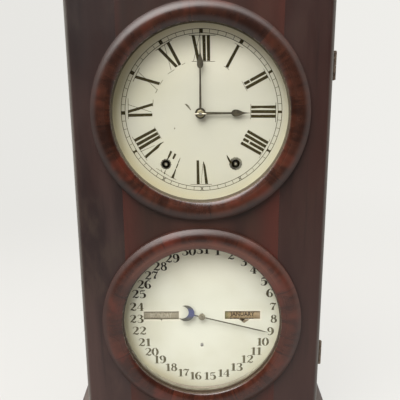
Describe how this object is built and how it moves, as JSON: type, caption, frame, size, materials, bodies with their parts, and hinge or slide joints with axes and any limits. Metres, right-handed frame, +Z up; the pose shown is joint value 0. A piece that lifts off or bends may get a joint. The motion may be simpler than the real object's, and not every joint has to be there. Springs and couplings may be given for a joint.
{
  "type": "double-dial calendar shelf clock",
  "caption": "Straight-sided wooden shelf clock with a hinged front door, two round turned bezels, a time dial above and a date, day and month dial below.",
  "frame": {"origin": "centre of the footprint, on the surface that the clock stands on", "axes": "+Z up, the front with the dials faces -Y, +X to the right of someone who reads the dials"},
  "size_m": [0.344, 0.1454, 0.6352],
  "materials": {
    "dark_veneer": "shellac varnish over dark rosewood veneer",
    "red_veneer": "shellac varnish over red-brown veneer",
    "turned_wood": "polished turned hardwood",
    "pine": "raw planed pine",
    "retainer_wood": "stained wood fillet",
    "window_glass": "old clear window glass",
    "time_dial_paint": "cream paint on sheet zinc, worn",
    "calendar_dial_paint": "cream paint on sheet zinc",
    "hinge_brass": "tarnished brass",
    "movement_brass": "lacquered sheet brass",
    "bright_steel": "plain turned steel",
    "blued_steel": "dark blued steel",
    "calendar_hand_steel": "blued steel with a blue crescent",
    "cast_frame": "japanned casting",
    "day_paper": "varnished printed paper on a drum",
    "month_paper": "varnished printed paper on a drum"
  },
  "bodies": {
    "case": {"side_panel_left": "dark_veneer", "side_panel_right": "dark_veneer", "top_board": "dark_veneer", "bottom_board": "pine", "glue_blocks": "pine", "back_board": "pine", "base_front": "dark_veneer", "base_left": "dark_veneer", "base_right": "dark_veneer", "cornice_front": "dark_veneer", "cornice_left": "dark_veneer", "cornice_right": "dark_veneer", "dial_posts": "pine", "dial_screws": "bright_steel", "case_hinge_leaves": "hinge_brass", "case_hinge_screws": "bright_steel", "hinge_pins": "hinge_brass", "time_dial": "time_dial_paint", "calendar_dial": "calendar_dial_paint", "movement_front_plate": "movement_brass", "movement_back_plate": "movement_brass", "movement_pillars": "movement_brass", "mainsprings": "bright_steel", "coil_gong": "bright_steel", "calendar_frame": "cast_frame"},
    "door": {"door_stile_left": "dark_veneer", "door_stile_right": "dark_veneer", "door_rail_top": "red_veneer", "door_rail_middle": "red_veneer", "door_rail_bottom": "red_veneer", "bezel_upper": "turned_wood", "bezel_lower": "turned_wood", "glass_upper": "window_glass", "glass_lower": "window_glass", "glass_retainers": "retainer_wood", "door_hinge_leaves": "hinge_brass", "door_hinge_screws": "bright_steel"},
    "minute_hand_set": {"centre_arbor": "bright_steel", "minute_hand": "blued_steel", "hand_washer_and_pin": "bright_steel"},
    "hour_hand_set": {"hour_wheel": "movement_brass", "hour_hand": "blued_steel"},
    "minute_wheel_set": {"minute_wheel": "movement_brass"},
    "centre_wheel_set": {"centre_wheel": "movement_brass"},
    "second_wheel_set": {"second_wheel": "movement_brass"},
    "time_great_wheel_set": {"time_great_wheel": "movement_brass"},
    "third_wheel_set": {"third_wheel": "movement_brass"},
    "escape_wheel_set": {"escape_wheel": "movement_brass"},
    "time_winding_set": {"time_winding_arbor": "bright_steel"},
    "strike_winding_set": {"strike_winding_arbor": "bright_steel"},
    "strike_great_wheel_set": {"strike_great_wheel": "movement_brass"},
    "verge_set": {"verge": "bright_steel"},
    "pendulum": {"pendulum_rod": "bright_steel", "pendulum_bob": "movement_brass"},
    "hammer": {"strike_hammer": "bright_steel"},
    "date_hand_set": {"date_wheel": "movement_brass", "calendar_hand": "calendar_hand_steel"},
    "day_roller_set": {"day_roller": "day_paper"},
    "month_roller_set": {"month_roller": "month_paper"},
    "lever": {"calendar_lever": "bright_steel"}
  },
  "joints": [
    {"name": "door_swing", "type": "hinge", "parent": "case", "child": "door", "pos_m": [0.1448, -0.0275, 0.3221], "axis": [0, 0, 1], "range_deg": [0, 160]},
    {"name": "minute_hand_spin", "type": "hinge", "parent": "case", "child": "minute_hand_set", "pos_m": [0, -0.0263, 0.4478], "axis": [0, 1, 0], "continuous": true},
    {"name": "hour_hand_spin", "type": "hinge", "parent": "case", "child": "hour_hand_set", "pos_m": [0, -0.0263, 0.4478], "axis": [0, 1, 0], "continuous": true},
    {"name": "minute_wheel_spin", "type": "hinge", "parent": "case", "child": "minute_wheel_set", "pos_m": [0, -0.0069, 0.431], "axis": [0, 1, 0], "continuous": true},
    {"name": "third_wheel_spin", "type": "hinge", "parent": "case", "child": "third_wheel_set", "pos_m": [0.01815, 0.0191, 0.46697], "axis": [0, 1, 0], "continuous": true},
    {"name": "escape_wheel_spin", "type": "hinge", "parent": "case", "child": "escape_wheel_set", "pos_m": [0, 0.0295, 0.4838], "axis": [0, 1, 0], "continuous": true},
    {"name": "centre_wheel_spin", "type": "hinge", "parent": "case", "child": "centre_wheel_set", "pos_m": [0, 0.0243, 0.4478], "axis": [0, 1, 0], "continuous": true},
    {"name": "second_wheel_spin", "type": "hinge", "parent": "case", "child": "second_wheel_set", "pos_m": [0.01968, 0.0035, 0.41915], "axis": [0, 1, 0], "continuous": true},
    {"name": "time_great_wheel_spin", "type": "hinge", "parent": "case", "child": "time_great_wheel_set", "pos_m": [0.0395, 0.0087, 0.3903], "axis": [0, 1, 0], "continuous": true},
    {"name": "time_winding", "type": "hinge", "parent": "case", "child": "time_winding_set", "pos_m": [0.0395, 0.0139, 0.3903], "axis": [0, 1, 0], "continuous": true},
    {"name": "strike_winding", "type": "hinge", "parent": "case", "child": "strike_winding_set", "pos_m": [-0.0395, 0.0139, 0.3903], "axis": [0, 1, 0], "continuous": true},
    {"name": "strike_great_wheel_spin", "type": "hinge", "parent": "case", "child": "strike_great_wheel_set", "pos_m": [-0.0395, 0.0087, 0.3903], "axis": [0, 1, 0], "continuous": true},
    {"name": "pendulum_swing", "type": "hinge", "parent": "case", "child": "pendulum", "pos_m": [0, 0.0497, 0.5018], "axis": [0, 1, 0], "range_deg": [-3.5, 3.5]},
    {"name": "verge_rock", "type": "hinge", "parent": "case", "child": "verge_set", "pos_m": [0, 0.0295, 0.5018], "axis": [0, 1, 0], "range_deg": [-3.5, 3.5]},
    {"name": "hammer_lift", "type": "hinge", "parent": "case", "child": "hammer", "pos_m": [-0.056, 0.0565, 0.3818], "axis": [0, 1, 0], "range_deg": [0, 10]},
    {"name": "date_hand_spin", "type": "hinge", "parent": "case", "child": "date_hand_set", "pos_m": [0, -0.0263, 0.2024], "axis": [0, 1, 0], "continuous": true},
    {"name": "day_roller_spin", "type": "hinge", "parent": "case", "child": "day_roller_set", "pos_m": [-0.0495, -0.0089, 0.2024], "axis": [1, 0, 0], "continuous": true},
    {"name": "month_roller_spin", "type": "hinge", "parent": "case", "child": "month_roller_set", "pos_m": [0.0495, -0.0089, 0.2024], "axis": [1, 0, 0], "continuous": true},
    {"name": "calendar_lever_lift", "type": "hinge", "parent": "case", "child": "lever", "pos_m": [-0.0605, 0.013, 0.2309], "axis": [0, 1, 0], "range_deg": [-6, 0]}
  ],
  "couplings": [
    {"joint": "hour_hand_spin", "follows": "minute_hand_spin", "ratio": 0.083333},
    {"joint": "minute_wheel_spin", "follows": "minute_hand_spin", "ratio": -0.33333},
    {"joint": "escape_wheel_spin", "follows": "third_wheel_spin", "ratio": -10},
    {"joint": "centre_wheel_spin", "follows": "third_wheel_spin", "ratio": -0.1},
    {"joint": "second_wheel_spin", "follows": "third_wheel_spin", "ratio": 0.025},
    {"joint": "time_great_wheel_spin", "follows": "third_wheel_spin", "ratio": -0.0041667},
    {"joint": "verge_rock", "follows": "pendulum_swing", "ratio": 1},
    {"joint": "day_roller_spin", "follows": "date_hand_spin", "ratio": 4.4286},
    {"joint": "month_roller_spin", "follows": "date_hand_spin", "ratio": 0.083333}
  ]
}
